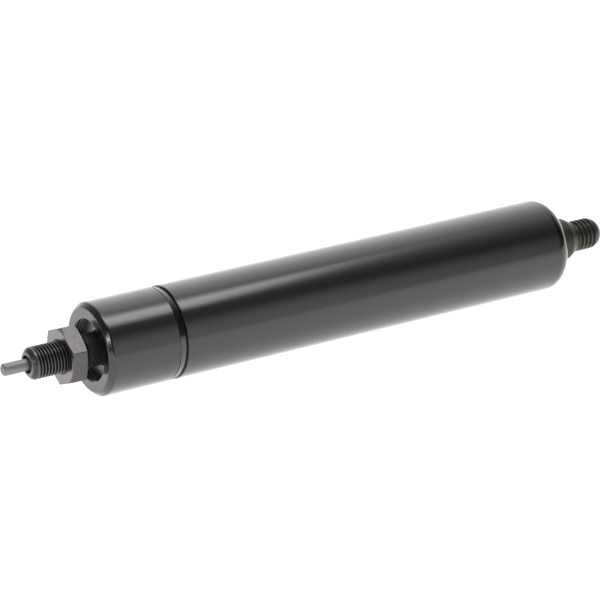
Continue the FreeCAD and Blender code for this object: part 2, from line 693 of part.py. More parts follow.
def valve_tappet():
    """Stem, neck and head of the valve. The head closes the seat from the far side."""
    body = new_body("valve_tappet", TAPPET_START)
    stem = f"({VALVE_R} - pin_gap)"
    neck = "(tappet_neck_diameter / 2)"
    head = f"({TAPPET_HEAD} - {TAPPET_START})"
    middle = "tappet_stem_length / 2"
    groove = "(tappet_wire / 2 + ring_gap)"
    turned(body, "tappet", [
        ("0", "0"),
        ("0", stem),
        (f"{middle} - {groove}", stem),
        (f"{middle} - {groove}", f"{VALVE_R} - {groove} * 2"),
        (f"{middle} + {groove}", f"{VALVE_R} - {groove} * 2"),
        (f"{middle} + {groove}", stem),
        ("tappet_stem_length", stem),
        ("tappet_stem_length", neck),
        (head, neck),
        (head, "tappet_head_diameter / 2"),
        (f"{head} + tappet_head_length - tappet_nose_length", "tappet_head_diameter / 2"),
        (f"{head} + tappet_head_length", "tappet_nose_diameter / 2"),
        (f"{head} + tappet_head_length", "0"),
    ])
    sealing_ring("tappet_seal_ring", f"{TAPPET_START} + {middle}",
                 f"{VALVE_R} - {groove}", "tappet_wire")


# Separator: floats between oil and gas

def separator():
    """Cup with its open side to the gas, and a ring near each end."""
    body = new_body("separator_piston", SEPARATOR_START)
    inner = f"({SLIDE_R} - separator_wall)"
    turned(body, "cup", [
        ("0", "0"),
        ("0", f"{SLIDE_R} - tube_edge_break"),
        ("tube_edge_break", SLIDE_R),
        ("separator_length", SLIDE_R),
        ("separator_length", inner),
        ("separator_floor", inner),
        ("separator_floor", "0"),
    ])
    depth = f"({SEAL_GROOVE} - running_gap)"
    far = "(separator_length - separator_ring_inset)"
    ring_groove(body, "oil_groove", "separator_ring_inset", SLIDE_R, depth)
    ring_groove(body, "gas_groove", far, SLIDE_R, depth)
    centre = f"{BORE_R} - {SEAL_GROOVE} / 2"
    sealing_ring("separator_oil_ring", f"{SEPARATOR_START} + separator_ring_inset", centre,
                 "seal_wire")
    sealing_ring("separator_gas_ring", f"{SEPARATOR_START} + {far}", centre, "seal_wire")


def write_parts():
    """Check every object and write one file for each piece."""
    doc.recompute()
    for item in doc.Objects:
        if "Invalid" in item.State or "Error" in item.State:
            raise RuntimeError(f"{item.Label} failed: {item.State}")
    for piece in PIECES:
        shape = piece.Shape
        if shape.isNull() or not shape.isValid() or len(shape.Solids) != 1:
            raise RuntimeError(f"{piece.Label} is not one valid solid")
    os.makedirs("parts", exist_ok=True)
    for piece in PIECES:
        piece.Shape.exportStep(os.path.join("parts", piece.Label + ".step"))
        box = piece.Shape.BoundBox
        print(f"{piece.Label}: x {box.XMin:.2f} to {box.XMax:.2f}, "
              f"{piece.Shape.Volume:.1f} mm3")


pressure_tube()
end_sleeve()
rod_guide()
rod_guide_pieces()
rod_seal()
guide_snap_ring()
base_plug()
base_rings()
threaded_stud()
piston_rings()
piston_rod()
stop_sleeve()
piston()
piston_nut()
lock_nut()
release_pin()
valve_tappet()
separator()
write_parts()
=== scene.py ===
"""Looks of a locking gas strut, laid out as an add-on. Each operator makes one piece round the
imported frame. Outlines are worked out in millimetres, and meshes are stored in metres."""

import math
from types import SimpleNamespace

import bpy
import numpy as np
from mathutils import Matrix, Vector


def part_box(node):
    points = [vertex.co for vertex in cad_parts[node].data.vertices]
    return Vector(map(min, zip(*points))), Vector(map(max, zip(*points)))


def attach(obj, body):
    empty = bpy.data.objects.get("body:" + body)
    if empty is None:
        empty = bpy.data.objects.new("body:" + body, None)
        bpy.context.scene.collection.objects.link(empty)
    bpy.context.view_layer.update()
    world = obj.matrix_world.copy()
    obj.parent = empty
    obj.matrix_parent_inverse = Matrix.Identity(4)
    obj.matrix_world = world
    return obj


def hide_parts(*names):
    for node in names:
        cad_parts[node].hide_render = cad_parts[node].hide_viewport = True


bl_info = {
    "name": "Gas strut looks",
    "version": (1, 0, 0),
    "blender": (4, 5, 0),
    "location": "View3D > Sidebar > Gas strut",
    "description": "Pieces, finishes and studio of a locking gas strut",
    "category": "Mesh",
}

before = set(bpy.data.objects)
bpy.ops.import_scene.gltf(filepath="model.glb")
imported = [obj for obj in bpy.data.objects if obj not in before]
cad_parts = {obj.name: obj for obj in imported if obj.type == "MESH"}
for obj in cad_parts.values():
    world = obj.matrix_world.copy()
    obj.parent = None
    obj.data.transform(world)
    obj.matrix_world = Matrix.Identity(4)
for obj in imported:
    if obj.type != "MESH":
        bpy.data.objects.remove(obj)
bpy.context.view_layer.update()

MM = 0.001


# Fits, grooves and steps that pieces share, in millimetres

FIT = 0.05
SEAT = 0.04
SEAL_HALF, SEAL_DEPTH = 0.94, 1.33
WIRE_HALF, WIRE_DEPTH, SNAP_DEPTH = 0.64, 0.49, 0.9
NUT_SINK, STEP_RUN = 0.3, 0.05


# Places and radii that the frame gives, in millimetres

def ends(node):
    """Lowest and highest x of a node."""
    low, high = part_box(node)
    return round(low.x / MM, 3), round(high.x / MM, 3)


def middle(node):
    """x halfway between the ends of a node."""
    return sum(ends(node)) / 2


def farthest(node):
    """Radius and angle of the vertex of a node that lies farthest from the axis. Of vertices
    that are equally far to a thousandth of a millimetre, the first counts."""
    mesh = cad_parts[node].data
    spots = np.empty(len(mesh.vertices) * 3)
    mesh.vertices.foreach_get("co", spots)
    spots = spots.reshape(-1, 3)
    reach = np.hypot(spots[:, 1], spots[:, 2])
    vertex = spots[np.argmax(np.round(reach, 6))]
    return round(float(reach.max()) / MM, 3), math.atan2(vertex[2], vertex[1])


TUBE_START, TUBE_STOP = ends("pressure_tube")
SLEEVE_START, SLEEVE_STOP = ends("end_sleeve")
GUIDE_START, GUIDE_STOP = ends("rod_guide")
ROD_START, ROD_STOP = ends("piston_rod")
NUT_START, NUT_STOP = ends("lock_nut")
PIN_START, PIN_STOP = ends("release_pin")
PLUG_START, PLUG_STOP = ends("base_plug")
STUD_START, STUD_STOP = ends("threaded_stud")
PISTON_START = ends("piston")[0]
LINER_START = ends("guide_liner")[0]
SNAP_RING = middle("guide_snap_ring")
WIRE_RING = middle("base_wire_ring")
SLEEVE_RING = middle("sleeve_seal_ring")
GUIDE_RING = middle("guide_seal_ring")
BASE_RING = middle("base_seal_ring")

TUBE_R = farthest("pressure_tube")[0]
BORE_R = farthest("base_seal_ring")[0] + SEAT
PLUG_R = farthest("base_plug")[0]
GUIDE_R = farthest("rod_guide")[0]
LINER_R = farthest("guide_liner")[0]
ROD_R = farthest("piston_rod")[0]
PIN_R = farthest("release_pin")[0]
FLANGE_R = farthest("threaded_stud")[0]
NUT_CORNER_R, NUT_TURN = farthest("lock_nut")


# Sizes and colours that a user would change

def linear(code):
    """Linear colour of an sRGB hex value. A channel c of up to 0.04045 becomes c / 12.92, and
    a higher one ((c + 0.055) / 1.055)^2.4."""
    channels = np.array([int(code[i:i + 2], 16) for i in (1, 3, 5)]) / 255
    low, high = channels / 12.92, ((channels + 0.055) / 1.055) ** 2.4
    return tuple(float(value) for value in np.where(channels <= 0.04045, low, high))


def length(name, value, text):
    """Length property whose default is given in millimetres."""
    return bpy.props.FloatProperty(name=name, default=value * MM, min=0.0, precision=5,
                                   unit="LENGTH", description=text)


def colour(name, code, text):
    """Colour property whose default is an sRGB hex value."""
    return bpy.props.FloatVectorProperty(name=name, default=linear(code), size=3, min=0.0,
                                         max=1.0, subtype="COLOR", description=text)


def amount(name, value, text):
    """Light property, relative to white."""
    return bpy.props.FloatProperty(name=name, default=value, min=0.0, description=text)


class StrutSizes(bpy.types.PropertyGroup):
    """Sizes that the frame's boxes don't give."""

    soft_edge: length("Soft edge", 0.12, "Rounding of machined edges")
    tube_wall: length("Tube wall", 1.5, "Wall of the tube")
    tube_end: length("Rolled end", 5.0, "Rounding of the tube's rolled end")
    lip_width: length("Lip width", 1.2, "Flat lip of the rolled end")
    face_chamfer: length("Face chamfer", 1.4, "Chamfer round the sleeve's face")
    joint_chamfer: length("Joint chamfer", 2.4, "Chamfer at the joint, along the axis")
    joint_depth: length("Joint depth", 0.6, "Depth of the groove at the joint")
    mouth_radius: length("Mouth radius", 9.2, "Opening round the rod")
    mouth_pitch: length("Mouth pitch", 1.0, "Pitch of the thread in the mouth")
    mouth_thread: length("Mouth thread", 0.5, "Depth of the thread in the mouth")
    crest_radius: length("Crest radius", 4.8, "Crest of both outside threads")
    rod_pitch: length("Rod pitch", 1.0, "Pitch of the rod's thread")
    rod_thread: length("Rod thread", 0.56, "Depth of the rod's thread")
    rod_tip: length("Rod tip", 1.25, "Chamfer in front of the rod's thread")
    valve_radius: length("Valve radius", 2.6, "Valve bore and sunk mouth of the rod")
    valve_depth: length("Valve depth", 17.0, "Length of the valve bore in front of the piston")
    neck_radius: length("Neck radius", 4.0, "Neck of the rod and spigot of the stud")
    nut_bore: length("Nut bore", 4.725, "Bore of the lock nut")
    stud_pitch: length("Stud pitch", 1.5, "Pitch of the stud's thread")
    stud_thread: length("Stud thread", 0.7, "Depth of the stud's thread")
    stud_root: length("Stud root", 4.5, "Foot of the stud's cone")
    stud_tip: length("Stud tip", 3.4, "Length of the stud's tip, past its thread")
    flange_length: length("Flange length", 3.8, "Cylindrical flange of the stud")


class StrutColours(bpy.types.PropertyGroup):
    """Colours of the finishes."""

    enamel: colour("Enamel", "#121213", "Black enamel")
    # Lighter than the thread's colour: painted light that lifts the shaded rod in the mouth,
    # between the nut and the guide
    rod: colour("Rod", "#525252", "Blackened rod")
    rod_root: colour("Rod, root", "#1e1e1e", "Roots of the rod's thread")
    rod_rubbed: colour("Rod, rubbed", "#6c6c6a", "Tip and thread crests of the rod")
    rod_face: colour("Rod, face", "#7e7e7b", "Bare end face of the rod")
    nut: colour("Nut", "#5c5a59", "Flats of the lock nut")
    nut_light: colour("Nut, light", "#969492", "Faces of the lock nut")
    pin: colour("Pin", "#858381", "Release pin")
    pin_light: colour("Pin, light", "#a3a19f", "Lighter streaks of the release pin")
    alloy: colour("Alloy", "#8a8a88", "Face of the guide")
    alloy_light: colour("Alloy, light", "#a3a3a0", "Lighter clouds of the guide's face")
    stud: colour("Stud", "#30312b", "Phosphated stud")
    stud_light: colour("Stud, light", "#6a6b60", "Crests and tip of the stud")
    table: colour("Table", "#7a7a7a", "Surface of the table")
    table_glow: colour("Table, glow", "#fffdfc", "Light that the table sends up")


class StageSettings(bpy.types.PropertyGroup):
    """Camera, table and lights."""

    camera_place: bpy.props.FloatVectorProperty(
        name="Camera place", default=(-594.3 * MM, -809.2 * MM, 394.2 * MM),
        subtype="TRANSLATION", unit="LENGTH", description="Where the camera stands")
    azimuth: bpy.props.FloatProperty(name="Azimuth", default=math.radians(-31.45),
                                     subtype="ANGLE", description="Turn of the camera")
    elevation: bpy.props.FloatProperty(name="Elevation", default=math.radians(22.56),
                                       subtype="ANGLE", description="Angle it looks down at")
    lens: bpy.props.FloatProperty(name="Lens", default=206.82, unit="CAMERA",
                                  description="Focal length in millimetres")
    table_light: amount("Table light", 1.06, "Light of the table")
    roof_light: amount("Roof light", 1.0, "Light of the box overhead")
    core_light: amount("Core light", 1.5, "Light of the smaller box inside it")
    strip_light: amount("Strip light", 9.0, "Light of the strip at the rod end")


def millimetres(group):
    """Lengths of a settings group, in millimetres."""
    return SimpleNamespace(**{name: getattr(group, name) / MM for name in group.__annotations__})


# Surfaces

def rounded(corners):
    """Outline with rounded corners, as rows by columns by (x, radius). A corner is (x, radius)
    or (x, radius, cut, steps), and its x and radius may be arrays, one value to a column.
    The corner P gives way to the conic ((1-t)^2 A + 2wt(1-t) P + t^2 B) / ((1-t)^2 +
    2wt(1-t) + t^2), where A and B lie a cut away from P along its two sides and w is the
    cosine of half the turn. That is the true arc that touches both sides."""
    places = [np.atleast_2d(np.stack(np.broadcast_arrays(*corner[:2]), -1)) for corner in corners]
    points = np.stack(np.broadcast_arrays(*places)).astype(float)
    rows = []
    for index, corner in enumerate(corners):
        point = points[index]
        if len(corner) == 2:
            rows.append(point[None])
            continue
        cut, steps = corner[2:]
        back = points[index - 1] - point
        ahead = points[(index + 1) % len(corners)] - point
        back /= np.linalg.norm(back, axis=-1, keepdims=True)
        ahead /= np.linalg.norm(ahead, axis=-1, keepdims=True)
        turn = -np.sum(back * ahead, axis=-1, keepdims=True)
        weight = np.sqrt(np.clip((1 + turn) / 2, 0, 1))
        t = np.linspace(0, 1, steps)[:, None, None]
        first, between, last = (1 - t) ** 2, 2 * weight * t * (1 - t), t ** 2
        arc = first * (point + back * cut) + between * point + last * (point + ahead * cut)
        rows.append(arc / (first + between + last))
    return np.concatenate(rows)


def divided(outline, step, low=-math.inf, high=math.inf):
    """Outline whose runs between x low and x high are divided. A run of length l becomes l / step
    equal runs, rounded up."""
    following = np.roll(outline, -1, axis=0)
    runs = following - outline
    reach = np.linalg.norm(runs, axis=-1).max(axis=-1)
    centre = (outline[..., 0] + following[..., 0]).mean(axis=-1) / 2
    inside = (centre > low) & (centre < high)
    parts = np.where(inside, np.maximum(np.ceil(reach / step), 1), 1).astype(int)
    source = np.repeat(np.arange(len(outline)), parts)
    share = (np.arange(parts.sum()) - np.repeat(np.cumsum(parts) - parts, parts)) / parts[source]
    return outline[source] + runs[source] * share[:, None, None]


def thread_cut(x, angle, start, stop, pitch, depth, run_out):
    """Depth of a right-hand thread below its crest. The phase is x / pitch - angle / 2 pi. The
    crest is an eighth of the pitch wide, the root a quarter, and each flank is eased into
    both by the curve 3s^2 - 2s^3. The depth fades to nothing over a run-out at each end."""
    crest, root = 1 / 8, 1 / 4
    away = np.abs((x / pitch - angle / math.tau) % 1.0 - 0.5)
    flank = np.clip((away - crest / 2) / ((1 - crest - root) / 2), 0, 1)
    fade = np.clip((x - start) / run_out, 0, 1) * np.clip((stop - x) / run_out, 0, 1)
    return depth * flank ** 2 * (3 - 2 * flank) * fade


def turned(name, outline, angles, solid=False, relief=None):
    """Shape turned about the X axis: (x, r cos a, r sin a) for each row and column. The
    outline closes on itself and makes a ring, or, for a solid, starts and stops with one
    point on the axis. Relief gives the radius from x, the angle and the radius."""
    x, radius, angle = np.broadcast_arrays(outline[..., 0], outline[..., 1], angles[None, :])
    if relief:
        radius = relief(x, angle, radius)
    grid = np.stack([x, radius * np.cos(angle), radius * np.sin(angle)], -1) * MM
    rows, columns = radius.shape
    if solid:
        points = np.concatenate([grid[0, :1], grid[1:-1].reshape(-1, 3), grid[-1, :1]])
        number = 1 + np.arange((rows - 2) * columns).reshape(-1, columns)
        first, last = number[0], number[-1]
        pole = np.zeros_like(first)
        caps = [np.stack([pole, np.roll(first, -1), first], -1),
                np.stack([last, np.roll(last, -1), pole + len(points) - 1], -1)]
        near, far = number[:-1], number[1:]
    else:
        points = grid.reshape(-1, 3)
        near = np.arange(rows * columns).reshape(rows, columns)
        far = np.roll(near, -1, axis=0)
        caps = []
    quads = np.stack([near, np.roll(near, -1, 1), np.roll(far, -1, 1), far], -1)
    faces = quads.reshape(-1, 4).tolist() + [face for cap in caps for face in cap.tolist()]
    mesh = bpy.data.meshes.new(name)
    mesh.from_pydata(points.tolist(), [], faces)
    mesh.shade_smooth()
    piece = bpy.data.objects.new(name, mesh)
    bpy.context.scene.collection.objects.link(piece)
    # At its highest weight the modifier shades each vertex by its largest faces
    piece.modifiers.new("even_shading", "WEIGHTED_NORMAL").weight = 100
    return piece


def around(columns):
    """Evenly spaced angles about the axis, 2 pi k / columns."""
    return np.linspace(0, math.tau, columns, endpoint=False)


# Finishes

# Range that most values of a noise lie in, and sockets of the node that mixes two colours
NOISE = (0.3, 0.7)
MIX_SHARE, MIX_FIRST, MIX_LAST, MIX_RESULT = 0, 6, 7, 2

# Stretches of a grain into lines round the axis, and its detail there
ROUND_ROD, ROUND_PIECE = (1, 60, 60), (1, 40, 40)
LINE_DETAIL = 2.0


def add(tree, kind, inputs=(), **settings):
    """Add a node with its settings. Inputs are in the order of the sockets, or named in a
    dictionary, and each is a value or a link from a socket."""
    node = tree.nodes.new("ShaderNode" + kind)
    for key, value in settings.items():
        setattr(node, key, value)
    named = inputs if isinstance(inputs, dict) else dict(enumerate(inputs))
    for key, value in named.items():
        if isinstance(value, bpy.types.NodeSocket):
            tree.links.new(value, node.inputs[key])
        else:
            node.inputs[key].default_value = value
    return node


def grain(tree, place, wave, stretch=(1, 1, 1), detail=3.0):
    """Noise whose waves are a real length in millimetres, stretched along chosen axes."""
    scale = tuple(1 / factor for factor in stretch)
    laid = add(tree, "Mapping", {"Vector": place, "Scale": scale}).outputs["Vector"]
    inputs = {"Vector": laid, "Scale": 1 / (wave * MM), "Detail": detail}
    return add(tree, "TexNoise", inputs).outputs["Fac"]


def off_axis(tree, place):
    """Distance from the strut's axis, the root of y^2 + z^2, in metres."""
    flat = add(tree, "VectorMath", (place, (0, 1, 1)), operation="MULTIPLY").outputs["Vector"]
    return add(tree, "VectorMath", (flat,), operation="LENGTH").outputs["Value"]


def turning_rings(tree, place, feed):
    """Rings that a lathe leaves on a face: the sine of 2 pi r / feed, where r is the distance
    from the axis and the feed is in millimetres."""
    inputs = (off_axis(tree, place), math.tau / (feed * MM))
    phase = add(tree, "Math", inputs, operation="MULTIPLY").outputs[0]
    return add(tree, "Math", (phase,), operation="SINE").outputs[0]


def zones(tree, bounds):
    """Shares by which zones of a surface count. A bound is a measure, two lengths in millimetres
    and the share at each, with a straight run between them."""
    return [add(tree, "MapRange", (measure, low * MM, high * MM, first, last)).outputs[0]
            for measure, low, high, first, last in bounds]


def new_finish(name):
    """Material with an empty tree, that tree and its object coordinates."""
    material = bpy.data.materials.new(name)
    material.use_nodes = True
    tree = material.node_tree
    tree.nodes.clear()
    return material, tree, add(tree, "TexCoord").outputs["Object"]


def close_finish(tree, inputs, relief=None):
    """Principled surface with these inputs, led to the output. A relief is a height, the
    strength that it shows with and its depth in millimetres."""
    if relief:
        height, strength, depth = relief
        bump = add(tree, "Bump", {"Height": height, "Strength": strength,
                                  "Distance": depth * MM})
        inputs = {**inputs, "Normal": bump.outputs["Normal"]}
    surface = add(tree, "BsdfPrincipled", inputs).outputs["BSDF"]
    add(tree, "OutputMaterial", {"Surface": surface})


def stoved_enamel():
    """Black enamel, sprayed and stoved on steel. It gives a deep gloss with a soft edge to
    each reflection, and an orange peel 3 mm across that shows only where light grazes."""
    colours = bpy.context.scene.strut_colours
    material, tree, place = new_finish("stoved_enamel")
    peel = grain(tree, place, wave=3.0)
    haze = grain(tree, place, wave=22.0, stretch=(3, 1, 1))
    close_finish(tree, {
        "Base Color": (*colours.enamel, 1),
        "Roughness": add(tree, "MapRange", (haze, *NOISE, 0.15, 0.21)).outputs[0],
        "Coat Weight": 1.0,
        "Coat Roughness": 0.14,
    }, relief=(peel, 0.12, 0.02))
    return material


def nitrided_steel():
    """Nitrided, blackened and ground steel. It gives a satin black with fine lines round the
    rod, rubs grey on its tip and on the crests of the thread, and is bare on its end face.
    Off the thread the rod takes a lighter grey: painted light that lifts the shaded rod in the
    mouth, between the nut and the guide. The lines are drawn 0.12 mm apart, coarser than
    ground ones, to show."""
    colours = bpy.context.scene.strut_colours
    size = millimetres(bpy.context.scene.strut_sizes)
    material, tree, place = new_finish("nitrided_steel")
    lines = grain(tree, place, wave=0.12, stretch=ROUND_ROD, detail=LINE_DETAIL)
    x, radius = add(tree, "SeparateXYZ", (place,)).outputs["X"], off_axis(tree, place)
    on_crest, before_nut, on_thread, on_tip, on_face, outside = zones(tree, [
        (radius, size.crest_radius - 0.2, size.crest_radius, 0.0, 1.0),
        (x, NUT_START, NUT_START + 0.5, 1.0, 0.0),
        (x, NUT_STOP + 2.0, NUT_STOP + 2.6, 1.0, 0.0),
        (x, ROD_START + 1.7, ROD_START + 2.0, 0.4, 0.0),
        (x, ROD_START + 0.1, ROD_START + 0.3, 1.0, 0.0),
        (radius, size.valve_radius + 0.1, size.valve_radius + 0.3, 0.0, 1.0),
    ])
    rubbed, worn_tip, bare = (
        add(tree, "Math", pair, operation="MULTIPLY").outputs[0]
        for pair in ((on_crest, before_nut), (on_tip, outside), (on_face, outside)))
    worn = add(tree, "Math", (rubbed, worn_tip), operation="MAXIMUM").outputs[0]
    # Where on_thread is nought, in the mouth, the rod keeps its lighter colour: painted light
    # that lifts the shade there
    tint = (*colours.rod, 1)
    for share, over in ((on_thread, colours.rod_root), (worn, colours.rod_rubbed),
                        (bare, colours.rod_face)):
        inputs = {MIX_SHARE: share, MIX_FIRST: tint, MIX_LAST: (*over, 1)}
        tint = add(tree, "Mix", inputs, data_type="RGBA").outputs[MIX_RESULT]
    close_finish(tree, {
        "Base Color": tint,
        "Metallic": 0.6,
        "Roughness": add(tree, "MapRange", (lines, *NOISE, 0.26, 0.36)).outputs[0],
    }, relief=(lines, 0.1, 0.01))
    return material


def turned_nut_steel():
    """Drawn hexagon bar, turned on its faces. It gives dark grey flats with a fine mottle a
    millimetre across, and lighter faces with faint rings."""
    colours = bpy.context.scene.strut_colours
    material, tree, place = new_finish("turned_nut_steel")
    mottle = grain(tree, place, wave=1.1, detail=5.0)
    x = add(tree, "SeparateXYZ", (place,)).outputs["X"]
    on_face = 0.6
    front, back = zones(tree, [
        (x, NUT_START + 0.05, NUT_START + 0.12, on_face, 0.0),
        (x, NUT_STOP - 0.12, NUT_STOP - 0.05, 0.0, on_face),
    ])
    faced = add(tree, "Math", (front, back), operation="MAXIMUM").outputs[0]
    specks = add(tree, "MapRange", (mottle, *NOISE, 0.0, 0.16)).outputs[0]
    share = add(tree, "Math", (faced, specks), operation="ADD").outputs[0]
    inputs = {MIX_SHARE: share, MIX_FIRST: (*colours.nut, 1), MIX_LAST: (*colours.nut_light, 1)}
    close_finish(tree, {
        "Base Color": add(tree, "Mix", inputs, data_type="RGBA").outputs[MIX_RESULT],
        "Metallic": 1.0,
        "Roughness": add(tree, "MapRange", (faced, 0.0, on_face, 0.32, 0.28)).outputs[0],
    }, relief=(turning_rings(tree, place, feed=0.25), 0.06, 0.01))
    return material


def ground_pin_steel():
    """Centreless ground silver steel. It gives a mid grey with fine rings round the pin and a
    few darker streaks along it. The rings are drawn 0.15 mm apart, coarser than ground ones,
    to show."""
    colours = bpy.context.scene.strut_colours
    material, tree, place = new_finish("ground_pin_steel")
    streaks = grain(tree, place, wave=0.9, stretch=(14, 1, 1))
    lines = grain(tree, place, wave=0.15, stretch=ROUND_PIECE, detail=LINE_DETAIL)
    inputs = {MIX_SHARE: streaks, MIX_FIRST: (*colours.pin, 1), MIX_LAST: (*colours.pin_light, 1)}
    close_finish(tree, {
        "Base Color": add(tree, "Mix", inputs, data_type="RGBA").outputs[MIX_RESULT],
        "Metallic": 1.0,
        "Roughness": add(tree, "MapRange", (lines, *NOISE, 0.5, 0.6)).outputs[0],
    }, relief=(lines, 0.08, 0.01))
    return material


def faced_alloy():
    """Die cast light alloy with a turned face. It gives pale grey rings and soft clouds."""
    colours = bpy.context.scene.strut_colours
    material, tree, place = new_finish("faced_alloy")
    cloud = grain(tree, place, wave=2.4)
    inputs = {MIX_SHARE: cloud, MIX_FIRST: (*colours.alloy, 1),
              MIX_LAST: (*colours.alloy_light, 1)}
    close_finish(tree, {
        "Base Color": add(tree, "Mix", inputs, data_type="RGBA").outputs[MIX_RESULT],
        "Metallic": 1.0,
        "Roughness": add(tree, "MapRange", (cloud, *NOISE, 0.34, 0.46)).outputs[0],
    }, relief=(turning_rings(tree, place, feed=0.3), 0.12, 0.01))
    return material


def phosphated_steel():
    """Phosphated and oiled steel. It gives an olive black in the roots of the thread and a
    dull olive grey on its crests and on the round tip, mottled by crystals. They are drawn
    half a millimetre across, coarser than real ones, to show."""
    colours = bpy.context.scene.strut_colours
    size = millimetres(bpy.context.scene.strut_sizes)
    material, tree, place = new_finish("phosphated_steel")
    crystal = grain(tree, place, wave=0.5, detail=6.0)
    x, radius = add(tree, "SeparateXYZ", (place,)).outputs["X"], off_axis(tree, place)
    crest = size.crest_radius
    foot = size.stud_root - crest
    on_crest, on_tip, past_cone = zones(tree, [
        (radius, crest - size.stud_thread + 0.05, crest - 0.05, 0.15, 0.7),
        (x, STUD_STOP - 5.35, STUD_STOP - 2.15, 0.0, 0.8),
        (x, foot - 0.3, foot + 0.5, 0.4, 1.0),
    ])
    mottle = add(tree, "MapRange", (crystal, *NOISE, 0.55, 1.0)).outputs[0]
    light = add(tree, "Math", (on_crest, on_tip), operation="MAXIMUM").outputs[0]
    for share in (mottle, past_cone):
        light = add(tree, "Math", (light, share), operation="MULTIPLY").outputs[0]
    inputs = {MIX_SHARE: light, MIX_FIRST: (*colours.stud, 1), MIX_LAST: (*colours.stud_light, 1)}
    close_finish(tree, {
        "Base Color": add(tree, "Mix", inputs, data_type="RGBA").outputs[MIX_RESULT],
        "Metallic": 0.6,
        "Roughness": add(tree, "MapRange", (crystal, *NOISE, 0.24, 0.38)).outputs[0],
    }, relief=(crystal, 0.25, 0.02))
    return material


def turned_inner_metal(name, code, roughness, wave):
    """Metal of an inner piece. It gives fine lines round the axis, a wave apart, which is
    coarser than turned ones, to show. The lighter lines have 1.25 times the tint."""
    material, tree, place = new_finish(name)
    lines = grain(tree, place, wave, stretch=ROUND_PIECE, detail=LINE_DETAIL)
    tint = linear(code)
    lighter = tuple(value * 1.25 for value in tint)
    inputs = {MIX_SHARE: lines, MIX_FIRST: (*tint, 1), MIX_LAST: (*lighter, 1)}
    ranges = (lines, *NOISE, roughness, roughness + 0.12)
    close_finish(tree, {
        "Base Color": add(tree, "Mix", inputs, data_type="RGBA").outputs[MIX_RESULT],
        "Metallic": 1.0,
        "Roughness": add(tree, "MapRange", ranges).outputs[0],
    }, relief=(lines, 0.1, 0.01))
    return material


def moulded_inner_polymer(name, code, roughness, wave):
    """Polymer of an inner piece. It gives a dull surface with a fine even grain, whose lighter
    specks have 1.3 times the tint."""
    material, tree, place = new_finish(name)
    speck = grain(tree, place, wave, detail=4.0)
    tint = linear(code)
    lighter = tuple(min(value * 1.3, 1.0) for value in tint)
    inputs = {MIX_SHARE: speck, MIX_FIRST: (*tint, 1), MIX_LAST: (*lighter, 1)}
    ranges = (speck, *NOISE, roughness, roughness + 0.15)
    close_finish(tree, {
        "Base Color": add(tree, "Mix", inputs, data_type="RGBA").outputs[MIX_RESULT],
        "Roughness": add(tree, "MapRange", ranges).outputs[0],
    }, relief=(speck, 0.15, 0.01))
    return material


# Pieces

def groove(centre, half, rim, floor, soft):
    """Corners of a square groove in an outside face, for an outline that runs towards +x. It
    spans centre - half to centre + half, from the radius of its rim to that of its floor."""
    return [(centre - half, rim, soft, 3), (centre - half, floor, soft, 3),
            (centre + half, floor, soft, 3), (centre + half, rim, soft, 3)]


def dress(piece, maker, node, body):
    """Give a piece its finish, which is made once, and its place in the frame."""
    material = bpy.data.materials.get(maker.__name__) or maker()
    piece.data.materials.append(material)
    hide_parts(node)
    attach(piece, body)


class STRUT_OT_tube(bpy.types.Operator):
    """Make the pressure tube with its rolled end"""

    bl_idname = "strut.tube"
    bl_label = "Pressure tube"

    def execute(self, context):
        size = millimetres(context.scene.strut_sizes)
        soft, open_edge = size.soft_edge, 0.2
        lip = TUBE_R - size.tube_end - size.lip_width
        inner = TUBE_STOP - size.tube_wall
        wire = groove(WIRE_RING, WIRE_HALF, BORE_R, BORE_R + WIRE_DEPTH, soft)
        outline = rounded([
            (TUBE_START, BORE_R, soft, 4),
            (TUBE_START, TUBE_R, open_edge, 5),
            (TUBE_STOP, TUBE_R, size.tube_end, 28),
            (TUBE_STOP, lip, soft, 4),
            (inner, lip, soft, 4),
            (inner, BORE_R, size.tube_end - size.tube_wall, 12),
            *reversed(wire),
        ])
        piece = turned("tube", outline, around(columns=224))
        dress(piece, stoved_enamel, "pressure_tube", "cylinder")
        return {"FINISHED"}


